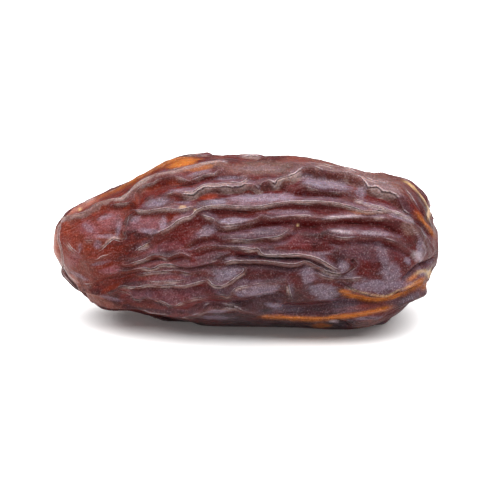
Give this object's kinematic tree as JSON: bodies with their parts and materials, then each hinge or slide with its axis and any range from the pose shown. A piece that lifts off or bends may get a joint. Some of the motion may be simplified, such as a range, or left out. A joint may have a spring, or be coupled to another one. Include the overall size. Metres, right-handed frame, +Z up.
{
  "type": "medjool date",
  "caption": "Large soft dried date lying on its side: a blunt oblong fruit, narrower at the tip, its skin drawn into long folds that meet at the stalk scar.",
  "frame": {"origin": "middle of the bounding box's bottom face, on the surface the fruit lies on", "axes": "+X along the fruit from the tip to the stalk end, +Z up, and -Y towards the side seen in the picture"},
  "size_m": [0.0574, 0.0276, 0.0255],
  "materials": {
    "date_skin": "wrinkled, slightly waxy reddish-brown fruit skin with a greyish bloom and paler worn crests"
  },
  "bodies": {
    "root": {"date": "date_skin"}
  },
  "joints": []
}
